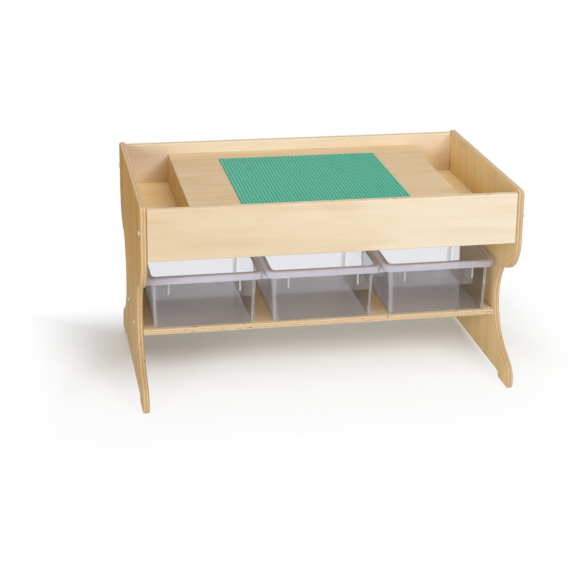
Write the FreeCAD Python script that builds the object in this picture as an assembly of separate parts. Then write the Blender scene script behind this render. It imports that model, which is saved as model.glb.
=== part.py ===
import FreeCAD, Part
import math
import os

from FreeCAD import Vector

# Children's building table: plywood sides, a tray with a raised deck, a shelf and three clear tubs.
# X runs along the table, Y from front to back, Z up. The origin is on the floor under the middle.
# All sizes are in millimetres.

# Side panels
panel_thickness = 16.0
panel_depth = 572.0
panel_height = 498.0
panel_top_radius = 12.0
panel_edge_round = 5.0
shoulder_radius = 90.0
shoulder_drop = 86.0
ledge_length = 4.0
waist_inset = 45.0
waist_share = 0.4
toe_setback = 7.0
toe_height = 46.0
toe_round = 40.0
toe_corner = 8.0
toe_length = 74.0
relief_height = 13.0
relief_corner = 4.0
heel_corner = 6.0

# Aprons
apron_thickness = 15.0
apron_height = 122.0
apron_drop = 6.0
apron_setback = 2.0
apron_edge_round = 3.0

# Tray
bay_drop = 101.0
bottom_thickness = 9.0
bottom_cleat_width = 18.0
bottom_cleat_height = 12.0
deck_drop = 28.5
deck_thickness = 12.0
bay_width = 106.0
deck_edge_round = 2.0
divider_thickness = 12.0
bearer_thickness = 12.0
deck_cleat_width = 15.0
deck_cleat_height = 18.0

# Building plate
stud_pitch = 8.0
studs_per_side = 50
stud_diameter = 4.9
stud_height = 1.8
solid_stud_step = 5
plate_thickness = 1.6
plate_corner_radius = 3.0

# Shelf
shelf_thickness = 18.0
shelf_overhang = 3.0
shelf_nose_radius = 6.0

# Tubs
tub_names = ("left_tub_shell", "middle_tub_shell", "right_tub_shell")
tub_gap = 3.5
tub_side_room = 3.5
tub_headroom = 80.0
tub_seat_gap = 0.3
tub_height = 133.0
tub_wall = 2.0
tub_floor = 2.5
tub_draft = 4.5
tub_corner_radius = 14.0
tub_floor_round = 6.0
rim_width = 280.0
rim_depth = 342.0
rim_overhang = 15.0
rim_corner_radius = 24.0
rim_skirt = 17.0
rim_thickness = 2.2
rim_roll_radius = 5.0
rib_spacing = 168.0
rib_width = 4.0
rib_proud = 1.2
rib_length = 45.0

# Fasteners
bolt_diameter = 6.0
bolt_length = 48.0
bolt_head_diameter = 12.0
bolt_head_height = 2.6
bolt_head_bevel = 1.2
bolt_drop = 55.0
insert_diameter = 10.0
insert_length = 22.0
dowel_diameter = 8.0
dowel_length = 30.0
dowel_in_panel = 10.0
apron_dowel_spread = 36.0
shelf_screw_diameter = 5.0
shelf_screw_length = 50.0
shelf_screw_head_diameter = 9.0
shelf_screw_head_height = 1.6
shelf_screw_head_bevel = 0.8
shelf_screw_spacing = 152.0
shelf_dowel_spacing = 80.0
wood_screw_diameter = 4.0
wood_screw_head_diameter = 8.0
wood_screw_bite = 8.0
divider_screw_bite = 24.0
apron_screw_spacing = 290.0
side_screw_spacing = 340.0
deck_cleat_screw_spacing = 380.0
deck_screw_spacing = 200.0
divider_screw_spacing = 320.0

# Clearances
hole_clearance = 0.1
hole_end_room = 0.4

# Levels and faces that several pieces share
tub_row = len(tub_names) * rim_width + (len(tub_names) - 1) * tub_gap
inner_half = tub_row / 2 + tub_side_room
apron_face = panel_depth / 2 - apron_setback
tray_half_depth = apron_face - apron_thickness
apron_top = panel_height - apron_drop
apron_bottom = apron_top - apron_height
ledge_level = apron_bottom - shoulder_drop
ledge_half_depth = panel_depth / 2 - shoulder_radius - ledge_length
waist_half_depth = ledge_half_depth - waist_inset
waist_height = ledge_level - waist_share * (ledge_level - toe_height)
toe_half_depth = panel_depth / 2 - toe_setback
relief_half_length = toe_half_depth - toe_length
bay_floor = apron_top - bay_drop
bottom_underside = bay_floor - bottom_thickness
deck_top = apron_top - deck_drop
deck_underside = deck_top - deck_thickness
deck_half = inner_half - bay_width
divider_middle = deck_half - divider_thickness / 2
shelf_top = apron_bottom - tub_headroom - tub_height
shelf_underside = shelf_top - shelf_thickness
shelf_half_depth = waist_half_depth + shelf_overhang
bolt_level = apron_top - bolt_drop
apron_middle = apron_face - apron_thickness / 2
shelf_middle = shelf_underside + shelf_thickness / 2

LEFT = -1
RIGHT = 1
FRONT = -1
BACK = 1
UP = Vector(0, 0, 1)


def board(first, second):
    """Plain board between two opposite corners."""
    low = Vector(*map(min, first, second))
    size = Vector(*map(max, first, second)) - low
    return Part.makeBox(size.x, size.y, size.z, low)


def rounded_edges(solid, radius, wanted):
    """Solid with a round of the given radius on each edge that the test accepts."""
    return solid.makeFillet(radius, [edge for edge in solid.Edges if wanted(edge)])


def runs_along_x(edge):
    """True for an edge that runs the length of the table."""
    return edge.BoundBox.YLength < 1e-6 and edge.BoundBox.ZLength < 1e-6


def lies_at(edge, level):
    """True for an edge that lies flat at one level."""
    return abs(edge.BoundBox.ZMin - level) < 1e-6 and abs(edge.BoundBox.ZMax - level) < 1e-6


def turned(points, start, direction):
    """Solid turned from (radius, distance) points, set at start with its axis along direction."""
    corners = [Vector(radius, 0, distance) for radius, distance in points]
    section = Part.Face(Part.makePolygon(corners + corners[:1]))
    solid = section.revolve(Vector(), UP, 360)
    solid.Placement = FreeCAD.Placement(start, FreeCAD.Rotation(UP, direction))
    return solid


def rod(diameter, length, start, direction, grow=0.0):
    """Plain round rod; grow makes the hole for it, wider all round and deeper at its far end."""
    reach = length + (hole_end_room if grow else 0.0)
    return Part.makeCylinder(diameter / 2 + grow, reach, start, direction)


def headed_bolt(diameter, length, head_diameter, head_height, bevel, start, direction):
    """Bolt or screw whose bevelled head sits on the surface at start."""
    head = head_diameter / 2
    shank = diameter / 2
    points = [(0, -head_height), (head - bevel, -head_height), (head, bevel - head_height), (head, 0),
              (shank, 0), (shank, length), (0, length)]
    return turned(points, start, direction)


def wood_screw(length, start, direction, grow=0.0):
    """Countersunk wood screw, flush with the surface at start; grow makes the hole for it."""
    head = wood_screw_head_diameter / 2 + grow
    shank = wood_screw_diameter / 2 + grow
    reach = length + (hole_end_room if grow else 0.0)
    points = [(0, 0), (head, 0), (shank, head - shank), (shank, reach), (0, reach)]
    return turned(points, start, direction)


def rounded_path(corners):
    """Edges through (depth, height, radius) corners in the YZ plane, with tangent arcs at the radii."""
    points = [Vector(0, depth, height) for depth, height, radius in corners]
    edges = []
    last = points[0]
    for index in range(1, len(points) - 1):
        corner = points[index]
        radius = corners[index][2]
        back = (points[index - 1] - corner).normalize()
        ahead = (points[index + 1] - corner).normalize()
        half_angle = back.getAngle(ahead) / 2
        trim = radius / math.tan(half_angle)
        centre = corner + (back + ahead).normalize() * (radius / math.sin(half_angle))
        middle = centre + (corner - centre).normalize() * radius
        arc_start = corner + back * trim
        arc_end = corner + ahead * trim
        edges.append(Part.LineSegment(last, arc_start).toShape())
        edges.append(Part.Arc(arc_start, middle, arc_end).toShape())
        last = arc_end
    edges.append(Part.LineSegment(last, points[-1]).toShape())
    return edges


def side_outline():
    """Closed outline of a side panel: shoulder, ledge, waist arc, splayed toe and floor relief."""
    edge = -panel_depth / 2
    ledge_end = Vector(0, -ledge_half_depth, ledge_level)
    waist = Vector(0, -waist_half_depth, waist_height)

    # The waist arc is upright at its narrowest point and starts at the inner end of the ledge
    inward = waist.y - ledge_end.y
    rise = ledge_end.z - waist.z
    waist_radius = (inward ** 2 + rise ** 2) / (2 * inward)
    centre = waist - Vector(0, waist_radius, 0)

    # The splay line leaves the waist arc on a tangent that meets the toe's upright
    to_toe = Vector(0, -toe_half_depth, toe_height) - centre
    leave = math.atan2(to_toe.z, to_toe.y) + math.acos(waist_radius / to_toe.Length)
    splay_start = centre + Vector(0, math.cos(leave), math.sin(leave)) * waist_radius

    upper = rounded_path([(0, panel_height, 0), (edge, panel_height, panel_top_radius),
                          (edge, ledge_level, shoulder_radius), (ledge_end.y, ledge_level, 0)])
    lower = rounded_path([(splay_start.y, splay_start.z, 0), (-toe_half_depth, toe_height, toe_round),
                          (-toe_half_depth, 0, toe_corner), (-relief_half_length, 0, heel_corner),
                          (-relief_half_length, relief_height, relief_corner),
                          (0, relief_height, 0)])
    front = upper + [Part.Arc(ledge_end, waist, splay_start).toShape()] + lower
    back = [piece.mirror(Vector(), Vector(0, 1, 0)) for piece in front]
    return Part.Wire(Part.__sortEdges__(front + back))


def corner_places(side):
    """The two points on a side panel's outer face where the apron bolts go in."""
    outer = side * (inner_half + panel_thickness)
    return [Vector(outer, end * apron_middle, bolt_level) for end in (FRONT, BACK)]


def shelf_places(side, spacing):
    """The two points on a side panel's outer face at shelf level, the spacing apart."""
    outer = side * (inner_half + panel_thickness)
    return [Vector(outer, end * spacing / 2, shelf_middle) for end in (FRONT, BACK)]


def inward(side):
    """Direction from a side panel towards the middle of the table."""
    return Vector(-side, 0, 0)


def dowel_starts(side):
    """Outer ends of the dowels at one side: two at each apron, then two at the shelf."""
    depth = inward(side) * (panel_thickness - dowel_in_panel)
    starts = []
    for place in corner_places(side):
        for offset in (-apron_dowel_spread, apron_dowel_spread):
            starts.append(place + depth + Vector(0, 0, offset))
    shelf = [place + depth for place in shelf_places(side, shelf_dowel_spacing)]
    return starts, shelf


def dowels(starts, side, grow=0.0):
    """Wooden dowels from their outer ends, or the holes for them, open at both ends."""
    room = inward(side) * (-hole_end_room if grow else 0.0)
    length = dowel_length + (hole_end_room if grow else 0.0)
    return [rod(dowel_diameter, length, start + room, inward(side), grow) for start in starts]


def apron_bolts(side):
    """Bolts through one side panel into the two aprons."""
    return [headed_bolt(bolt_diameter, bolt_length, bolt_head_diameter, bolt_head_height,
                        bolt_head_bevel, place, inward(side)) for place in corner_places(side)]


def shelf_screws(side):
    """Screws through one side panel into the shelf's end."""
    return [headed_bolt(shelf_screw_diameter, shelf_screw_length, shelf_screw_head_diameter,
                        shelf_screw_head_height, shelf_screw_head_bevel, place, inward(side))
            for place in shelf_places(side, shelf_screw_spacing)]


def bolt_holes(side):
    """Holes for the apron bolts and shelf screws of one side."""
    holes = [rod(bolt_diameter, bolt_length, place, inward(side), hole_clearance)
             for place in corner_places(side)]
    holes += [rod(shelf_screw_diameter, shelf_screw_length, place, inward(side), hole_clearance)
              for place in shelf_places(side, shelf_screw_spacing)]
    return holes


def insert_places(side):
    """Points in the apron ends where the threaded inserts sit."""
    return [place + inward(side) * panel_thickness for place in corner_places(side)]


def threaded_inserts():
    """Threaded inserts in the four apron ends."""
    inserts = []
    for side in (LEFT, RIGHT):
        for place in insert_places(side):
            sleeve = rod(insert_diameter, insert_length, place, inward(side))
            inserts.append(sleeve.cut(rod(bolt_diameter, insert_length, place, inward(side), hole_clearance)))
    return inserts


def joint_holes(side):
    """Every hole that the fasteners between one side panel and its neighbours need."""
    apron_starts, shelf_starts = dowel_starts(side)
    return bolt_holes(side) + dowels(apron_starts + shelf_starts, side, hole_clearance)


def bottom_cleat_screws(grow=0.0):
    """Screws from the bottom cleats into the aprons and side panels."""
    length = bottom_cleat_width + wood_screw_bite
    level = bottom_underside - bottom_cleat_height / 2
    screws = []
    for end in (FRONT, BACK):
        for step in (-1, 0, 1):
            start = Vector(step * apron_screw_spacing, end * (tray_half_depth - bottom_cleat_width), level)
            screws.append(wood_screw(length, start, Vector(0, end, 0), grow))
    for side in (LEFT, RIGHT):
        for end in (FRONT, BACK):
            start = Vector(side * (inner_half - bottom_cleat_width), end * side_screw_spacing / 2, level)
            screws.append(wood_screw(length, start, Vector(side, 0, 0), grow))
    return screws


def deck_cleat_screws(grow=0.0):
    """Screws from the deck cleats into the aprons."""
    length = deck_cleat_width + wood_screw_bite
    level = deck_underside - deck_cleat_height / 2
    reach = tray_half_depth - deck_cleat_width
    screws = []
    for end in (FRONT, BACK):
        for side in (LEFT, RIGHT):
            start = Vector(side * deck_cleat_screw_spacing / 2, end * reach, level)
            screws.append(wood_screw(length, start, Vector(0, end, 0), grow))
    return screws


def deck_screws(grow=0.0):
    """Screws from below, through the deck cleats into the deck."""
    length = deck_cleat_height + wood_screw_bite
    level = deck_underside - deck_cleat_height
    reach = tray_half_depth - deck_cleat_width / 2
    screws = []
    for end in (FRONT, BACK):
        for side in (LEFT, RIGHT):
            start = Vector(side * deck_screw_spacing / 2, end * reach, level)
            screws.append(wood_screw(length, start, UP, grow))
    return screws


def divider_screws(grow=0.0):
    """Screws from below, through the tray bottom into the dividers and the bearer."""
    length = bottom_thickness + divider_screw_bite
    screws = []
    for place in (-divider_middle, 0.0, divider_middle):
        for end in (FRONT, BACK):
            start = Vector(place, end * divider_screw_spacing / 2, bottom_underside)
            screws.append(wood_screw(length, start, UP, grow))
    return screws


def side_panel(side):
    """Side panel with all its edges rounded, drilled for the aprons, the shelf and the cleats."""
    face = Part.Face(side_outline())
    face.translate(Vector(side * inner_half, 0, 0))
    blank = face.extrude(Vector(side * panel_thickness, 0, 0))
    panel = rounded_edges(blank, panel_edge_round, lambda edge: edge.BoundBox.XLength < 1e-6)
    return panel.cut(joint_holes(side) + bottom_cleat_screws(hole_clearance))


def apron(end):
    """Front or back apron between the side panels."""
    blank = board((-inner_half, end * tray_half_depth, apron_bottom),
                  (inner_half, end * apron_face, apron_top))
    rounded = rounded_edges(blank, apron_edge_round, runs_along_x)
    holes = joint_holes(LEFT) + joint_holes(RIGHT)
    for side in (LEFT, RIGHT):
        holes += [rod(insert_diameter, insert_length, place, inward(side), hole_clearance)
                  for place in insert_places(side)]
    return rounded.cut(holes + bottom_cleat_screws(hole_clearance) + deck_cleat_screws(hole_clearance))


def tray_bottom():
    """Floor of the tray, which shows in the two end bays."""
    blank = board((-inner_half, -tray_half_depth, bottom_underside), (inner_half, tray_half_depth, bay_floor))
    return blank.cut(divider_screws(hole_clearance))


def long_bottom_cleat(end):
    """Strip along an apron that carries the tray bottom."""
    near = end * (tray_half_depth - bottom_cleat_width)
    level = bottom_underside - bottom_cleat_height
    blank = board((-inner_half, near, level), (inner_half, end * tray_half_depth, bottom_underside))
    return blank.cut(bottom_cleat_screws(hole_clearance))


def short_bottom_cleat(side):
    """Strip along a side panel that carries the tray bottom."""
    near = side * (inner_half - bottom_cleat_width)
    reach = tray_half_depth - bottom_cleat_width
    level = bottom_underside - bottom_cleat_height
    blank = board((near, -reach, level), (side * inner_half, reach, bottom_underside))
    return blank.cut(bottom_cleat_screws(hole_clearance))


def divider(side):
    """Upright board between an end bay and the space under the deck."""
    near = side * (deck_half - divider_thickness)
    blank = board((near, -tray_half_depth, bay_floor), (side * deck_half, tray_half_depth, deck_underside))
    return blank.cut(divider_screws(hole_clearance))


def deck_bearer():
    """Upright board under the middle of the deck, between the deck cleats."""
    reach = tray_half_depth - deck_cleat_width
    half = bearer_thickness / 2
    blank = board((-half, -reach, bay_floor), (half, reach, deck_underside))
    return blank.cut(divider_screws(hole_clearance))


def deck_cleat(end):
    """Strip along an apron, between the dividers, that carries the deck's edge."""
    reach = deck_half - divider_thickness
    near = end * (tray_half_depth - deck_cleat_width)
    level = deck_underside - deck_cleat_height
    blank = board((-reach, near, level), (reach, end * tray_half_depth, deck_underside))
    return blank.cut(deck_cleat_screws(hole_clearance) + deck_screws(hole_clearance))


def deck_panel():
    """Raised field of the tray, with its two end edges rounded."""
    blank = board((-deck_half, -tray_half_depth, deck_underside), (deck_half, tray_half_depth, deck_top))
    rounded = rounded_edges(blank, deck_edge_round,
                            lambda edge: lies_at(edge, deck_top) and edge.BoundBox.XLength < 1e-6)
    return rounded.cut(deck_screws(hole_clearance))


def building_plate():
    """Plate as many studs square as it carries, with every fifth stud each way; the rest are fine relief."""
    side = studs_per_side * stud_pitch
    base = rounded_block(side, side, plate_corner_radius, deck_top, plate_thickness)
    root = deck_top + plate_thickness / 2
    reach = plate_thickness / 2 + stud_height
    indices = range(solid_stud_step // 2, studs_per_side, solid_stud_step)
    places = [(index - (studs_per_side - 1) / 2) * stud_pitch for index in indices]
    studs = [rod(stud_diameter, reach, Vector(x, y, root), UP) for x in places for y in places]
    return base.fuse(studs)


def shelf():
    """Shelf between the side panels, with rounded front and back edges."""
    reach = shelf_half_depth
    blank = board((-inner_half, -reach, shelf_underside), (inner_half, reach, shelf_top))
    rounded = rounded_edges(blank, shelf_nose_radius, runs_along_x)
    return rounded.cut(joint_holes(LEFT) + joint_holes(RIGHT))


def rounded_rectangle(width, depth, radius, level):
    """Closed outline of a rectangle with round corners, centred on the Z axis."""
    x = width / 2
    y = depth / 2
    bow = radius * (1 - math.sqrt(0.5))
    edges = []
    for turn in range(4):
        half_run, half_other = (x, y) if turn % 2 == 0 else (y, x)
        start = Vector(radius - half_run, -half_other, level)
        end = Vector(half_run - radius, -half_other, level)
        middle = Vector(half_run - bow, bow - half_other, level)
        finish = Vector(half_run, radius - half_other, level)
        for piece in (Part.LineSegment(start, end), Part.Arc(end, middle, finish)):
            edges.append(piece.toShape().rotate(Vector(), UP, 90 * turn))
    return Part.Wire(edges)


def rounded_block(width, depth, radius, level, height):
    """Upright block with round corners."""
    return Part.Face(rounded_rectangle(width, depth, radius, level)).extrude(UP * height)


def drafted_block(inset, low, high):
    """Tapered body of a tub between two levels, drawn in all round by the inset."""
    top_width = rim_width - 2 * rim_overhang
    top_depth = rim_depth - 2 * rim_overhang
    sections = []
    for level in (low, high):
        drawn_in = inset + tub_draft * (1 - level / tub_height)
        sections.append(rounded_rectangle(top_width - 2 * drawn_in, top_depth - 2 * drawn_in,
                                          tub_corner_radius - inset, level))
    block = Part.makeLoft(sections, True, True)
    return rounded_edges(block, tub_floor_round - inset, lambda edge: lies_at(edge, low))


def rim_shell():
    """Flanged rim with a rolled outer edge and a skirt that turns down."""
    low = tub_height - rim_skirt
    outer = rounded_block(rim_width, rim_depth, rim_corner_radius, low, rim_skirt)
    outer = rounded_edges(outer, rim_roll_radius, lambda edge: lies_at(edge, tub_height))
    under = tub_height - rim_thickness
    inner = rounded_block(rim_width - 2 * rim_thickness, rim_depth - 2 * rim_thickness,
                          rim_corner_radius - rim_thickness, low, rim_skirt - rim_thickness)
    inner = rounded_edges(inner, rim_roll_radius - rim_thickness, lambda edge: lies_at(edge, under))
    return outer.cut(inner)


def tub_rib(end, side):
    """Upright stiffening rib on the front or back wall, which follows the wall's slope."""
    top = tub_height - rim_thickness
    profile = []
    for level, proud in ((top, -tub_wall / 2), (top, rib_proud), (top - rib_length, rib_proud),
                         (top - rib_length - rib_proud, 0.0), (top - rib_length - rib_proud, -tub_wall / 2)):
        wall = rim_depth / 2 - rim_overhang - tub_draft * (1 - level / tub_height)
        profile.append(Vector(side * rib_spacing / 2 - rib_width / 2, end * (wall + proud), level))
    return Part.Face(Part.makePolygon(profile + profile[:1])).extrude(Vector(rib_width, 0, 0))


def tub_shell():
    """Moulded tub: tapered thin walls, rolled rim and stiffening ribs, with its floor at zero."""
    body = drafted_block(0.0, 0.0, tub_height)
    ribs = [tub_rib(end, side) for end in (FRONT, BACK) for side in (LEFT, RIGHT)]
    cavity = drafted_block(tub_wall, tub_floor, tub_height)
    return body.fuse([rim_shell()] + ribs).cut(cavity).removeSplitter()


def placed_tub(index):
    """Tub at its place on the shelf, counted from the left."""
    middle = (len(tub_names) - 1) / 2
    tub = tub_shell()
    tub.translate(Vector((index - middle) * (rim_width + tub_gap), 0, shelf_top + tub_seat_gap))
    return tub


def all_pieces():
    """Every piece of the table by its name."""
    apron_dowels = []
    shelf_dowels = []
    for side in (LEFT, RIGHT):
        apron_starts, shelf_starts = dowel_starts(side)
        apron_dowels += dowels(apron_starts, side)
        shelf_dowels += dowels(shelf_starts, side)
    pieces = {
        "left_side_panel": side_panel(LEFT),
        "right_side_panel": side_panel(RIGHT),
        "front_apron": apron(FRONT),
        "back_apron": apron(BACK),
        "tray_bottom": tray_bottom(),
        "front_bottom_cleat": long_bottom_cleat(FRONT),
        "back_bottom_cleat": long_bottom_cleat(BACK),
        "left_bottom_cleat": short_bottom_cleat(LEFT),
        "right_bottom_cleat": short_bottom_cleat(RIGHT),
        "left_divider": divider(LEFT),
        "right_divider": divider(RIGHT),
        "deck_bearer": deck_bearer(),
        "front_deck_cleat": deck_cleat(FRONT),
        "back_deck_cleat": deck_cleat(BACK),
        "deck_panel": deck_panel(),
        "building_plate": building_plate(),
        "shelf": shelf(),
        "left_apron_bolts": Part.makeCompound(apron_bolts(LEFT)),
        "right_apron_bolts": Part.makeCompound(apron_bolts(RIGHT)),
        "apron_inserts": Part.makeCompound(threaded_inserts()),
        "apron_dowels": Part.makeCompound(apron_dowels),
        "left_shelf_screws": Part.makeCompound(shelf_screws(LEFT)),
        "right_shelf_screws": Part.makeCompound(shelf_screws(RIGHT)),
        "shelf_dowels": Part.makeCompound(shelf_dowels),
        "bottom_cleat_screws": Part.makeCompound(bottom_cleat_screws()),
        "deck_cleat_screws": Part.makeCompound(deck_cleat_screws()),
        "deck_screws": Part.makeCompound(deck_screws()),
        "divider_screws": Part.makeCompound(divider_screws()),
    }
    for index, name in enumerate(tub_names):
        pieces[name] = placed_tub(index)
    return pieces


os.makedirs("parts", exist_ok=True)
for name, piece in all_pieces().items():
    piece.exportStep(os.path.join("parts", name + ".step"))
    print(name, len(piece.Solids), "solids, valid" if piece.isValid() else "solids, NOT VALID")
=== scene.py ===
import math
from typing import NamedTuple

import bmesh
import bpy
from bpy.props import FloatProperty, FloatVectorProperty, IntProperty, PointerProperty
from mathutils import Matrix, Vector


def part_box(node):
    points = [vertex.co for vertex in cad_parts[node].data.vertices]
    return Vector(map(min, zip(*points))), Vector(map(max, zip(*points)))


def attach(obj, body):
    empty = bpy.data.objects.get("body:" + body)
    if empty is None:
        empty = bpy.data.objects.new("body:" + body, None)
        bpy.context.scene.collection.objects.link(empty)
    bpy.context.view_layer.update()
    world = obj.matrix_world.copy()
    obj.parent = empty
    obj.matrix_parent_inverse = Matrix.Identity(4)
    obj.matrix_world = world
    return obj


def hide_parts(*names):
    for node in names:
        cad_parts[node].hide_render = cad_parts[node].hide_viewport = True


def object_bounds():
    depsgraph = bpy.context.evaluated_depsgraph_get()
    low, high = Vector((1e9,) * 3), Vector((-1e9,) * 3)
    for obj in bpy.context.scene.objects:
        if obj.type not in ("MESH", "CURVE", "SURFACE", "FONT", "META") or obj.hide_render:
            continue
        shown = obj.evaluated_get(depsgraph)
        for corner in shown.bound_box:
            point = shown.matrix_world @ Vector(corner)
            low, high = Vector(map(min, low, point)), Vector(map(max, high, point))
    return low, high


bl_info = {
    "name": "Play table finishes",
    "version": (1, 0, 0),
    "blender": (4, 5, 0),
    "location": "3D View > Sidebar > Play table",
    "description": "Dresses a plywood play table with its finishes, studded plate, clear tubs and fasteners",
    "category": "Object",
}

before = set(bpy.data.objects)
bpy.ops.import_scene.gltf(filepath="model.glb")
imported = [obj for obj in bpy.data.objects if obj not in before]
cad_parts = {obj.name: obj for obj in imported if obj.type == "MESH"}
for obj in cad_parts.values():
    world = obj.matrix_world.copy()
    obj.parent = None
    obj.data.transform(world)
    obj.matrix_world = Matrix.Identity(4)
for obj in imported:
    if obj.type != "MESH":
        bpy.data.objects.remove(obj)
cad_low, cad_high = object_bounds()

# Axes by their place in a vector
X = 0
Y = 1
Z = 2
MM = 0.001

# How far the wood's pattern shifts for each metre of a piece's place, so that no two look alike
PATTERN_SPREAD = 7.0
STRIP_SPREAD = 5.0


class Board(NamedTuple):
    """How a plywood board lies, how its veneer is toned and across which axes its ends meet other boards.

    Warmth goes from 0 for pale to 1 for warm at each end of the grain. Gold is 1 for a golden tint, and
    cooler below 0. These tones are partly the veneer's own and partly painted light and shade: a darker,
    warmer board stands in for a face in shade, and a golden one for warm light bounced around the bays.
    """
    thickness_axis: int
    grain_axis: int
    start_warmth: float
    end_warmth: float
    gold_and_bounce: float
    seam_axes: tuple


# The left panel's darker, warmer tone is partly painted shade; the right panel's golden tint is partly
# painted light bounced in the bay
SIDE_PANELS = {
    "left_side_panel": Board(X, Z, 0.72, 1.12, 0.0, ()),
    "right_side_panel": Board(X, Z, 0.3, 0.3, 1.0, ()),
}
APRONS = {
    "front_apron": Board(Y, X, 0.34, -0.1, -0.3, (X,)),
    "back_apron": Board(Y, X, -0.17, -0.17, -0.25, (X,)),
}
# The golden tint on the tray bottom and the dividers is partly painted light bounced around the bays
TRAY_BOARDS = {
    "deck_panel": Board(Z, X, 0.45, 0.45, 0.0, (X, Y)),
    "tray_bottom": Board(Z, X, 0.3, 0.3, 1.0, (X, Y)),
    "left_divider": Board(X, Y, 0.4, 0.4, 1.0, (Y, Z)),
    "right_divider": Board(X, Y, 0.4, 0.4, 1.0, (Y, Z)),
}
SHELVES = {"shelf": Board(Z, X, 0.2, 0.2, 0.0, (X,))}

# Strips with the axis of their length
STRIPS = {
    "front_bottom_cleat": X,
    "back_bottom_cleat": X,
    "left_bottom_cleat": Y,
    "right_bottom_cleat": Y,
    "front_deck_cleat": X,
    "back_deck_cleat": X,
    "deck_bearer": Y,
}
DOWELS = ("apron_dowels", "shelf_dowels")
SCREWS = ("bottom_cleat_screws", "deck_cleat_screws", "deck_screws", "divider_screws")
INSERTS = ("apron_inserts",)
TUBS = {"left_tub_shell": "left_tub", "middle_tub_shell": "middle_tub", "right_tub_shell": "right_tub"}


def srgb(red, green, blue):
    """Scene colour from screen values of 0 to 255."""
    shares = [value / 255 for value in (red, green, blue)]
    return tuple(s / 12.92 if s <= 0.04045 else ((s + 0.055) / 1.055) ** 2.4 for s in shares)


def colour(name, description, value):
    """Colour property."""
    return FloatVectorProperty(name=name, description=description, subtype="COLOR", size=3, min=0.0, max=1.0,
                               default=value)


def length(name, description, value):
    """Length property in metres."""
    return FloatProperty(name=name, description=description, default=value, min=0.0, unit="LENGTH",
                         subtype="DISTANCE", precision=5)


def share(name, description, value):
    """Share property from 0 to 1."""
    return FloatProperty(name=name, description=description, default=value, min=0.0, max=1.0,
                         subtype="FACTOR")


def lamp_power(name, description, value):
    """Lamp power property in watts."""
    return FloatProperty(name=name, description=description, default=value, min=0.0, unit="POWER")


def camera_angle(name, description, value):
    """Angle property."""
    return FloatProperty(name=name, description=description, default=value, subtype="ANGLE")


class WoodSettings(bpy.types.PropertyGroup):
    """Sizes and colours of the plywood and the solid wood."""
    pale_light: colour("Pale veneer", "Main tone of a pale board", srgb(242, 224, 193))
    pale_dark: colour("Pale veneer, figure", "Tone of the darker figure in a pale board", srgb(232, 208, 169))
    warm_light: colour("Warm veneer", "Main tone of a warm board", srgb(209, 167, 105))
    warm_dark: colour("Warm veneer, figure", "Tone of the darker figure in a warm board", srgb(191, 145, 83))
    pale_edge: colour("Pale edge", "Edge of the long plies in a pale board", srgb(243, 216, 178))
    warm_edge: colour("Warm edge", "Edge of the long plies in a warm board", srgb(228, 190, 139))
    # Golden tint: partly painted warm light bounced around the bays
    gold_and_bounce: FloatVectorProperty(name="Golden tint", description="How the colours of a golden board are scaled",
                              size=3, min=0.0, max=2.0, default=(1.09, 1.06, 0.87))
    cross_ply: share("Cross plies", "Brightness of the cross plies beside the long ones", 0.7)
    void: colour("Voids", "Small gaps and knots in the core plies", srgb(92, 58, 30))
    veneer: length("Veneer thickness", "Thickness of the face veneer", 0.8 * MM)
    ply: length("Ply thickness", "Thickness of one core ply", 2.4 * MM)
    glue_line: length("Glue line", "Width of the dark line between two plies", 0.25 * MM)
    # Seams: a dark joint line along a board's ends that is also painted shade in the crease where boards meet
    seam: colour("Seams", "Tone of the closed joint at a board's ends", srgb(122, 86, 46))
    seam_shade_width: length("Seam width", "Width of the darkened line along a joint", 2.2 * MM)
    seam_shade_strength: share("Seam strength", "How far a joint darkens the veneer", 0.45)
    strip: colour("Softwood", "Tone of the planed softwood strips", srgb(222, 186, 132))
    strip_rings: colour("Softwood rings", "Tone of the late wood in the strips", srgb(188, 141, 86))
    dowel: colour("Dowels", "Tone of the beech dowels", srgb(205, 163, 118))


class PlateSettings(bpy.types.PropertyGroup):
    """Sizes and colour of the studded building plate."""
    studs: IntProperty(name="Studs", description="Studs along one edge of the plate", default=50, min=2)
    stud_diameter: length("Stud diameter", "Diameter of one stud", 4.9 * MM)
    stud_height: length("Stud height", "Height of one stud above the plate", 1.8 * MM)
    stud_bevel: length("Stud bevel", "Width of the bevel round a stud's top", 0.3 * MM)
    edge_bevel: length("Edge bevel", "Width of the bevel round the plate's top edge", 0.3 * MM)
    corner: length("Corner radius", "Radius of the plate's corners", 3.0 * MM)
    colour: colour("Colour", "Moulded colour of the plate", srgb(70, 193, 161))
    # Valleys: painted shade, darker down at the plate's face between the studs
    valley_shade: share("Valleys", "Brightness of the plate between the studs", 0.6)


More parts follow.
